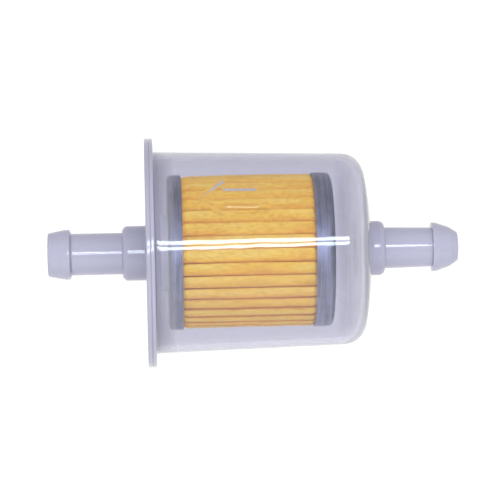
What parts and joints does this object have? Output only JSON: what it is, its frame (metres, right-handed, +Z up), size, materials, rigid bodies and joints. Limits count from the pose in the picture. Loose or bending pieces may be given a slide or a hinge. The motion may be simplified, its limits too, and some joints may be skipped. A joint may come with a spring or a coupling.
{
  "type": "fuel filter",
  "caption": "Clear in-line fuel filter: pleated paper element with metal end caps in a flanged see-through housing with a hose nipple at each end.",
  "frame": {"origin": "on the filter's axis, halfway between the two nipple tips", "axes": "+X along the axis from the outlet nipple on the cover to the inlet nipple on the cup; +Z up; the raised flow arrow is on the -Y side above the axis"},
  "size_m": [0.0662, 0.037, 0.037],
  "materials": {
    "clear_plastic": "clear moulded plastic, slightly milky",
    "filter_paper": "resin-treated filter paper, matt",
    "tinned_steel": "tinned sheet, satin",
    "potting": "cured plastisol, dull",
    "glue": "hot-melt glue, dull",
    "seal_rubber": "natural-coloured soft seal"
  },
  "bodies": {
    "root": {"body_cup": "clear_plastic", "cover": "clear_plastic", "pleated_paper": "filter_paper", "seam_strip": "glue", "centre_tube": "tinned_steel", "end_cap_open": "tinned_steel", "end_cap_closed": "tinned_steel", "potting_open": "potting", "potting_closed": "potting", "outlet_seal": "seal_rubber"}
  },
  "joints": []
}
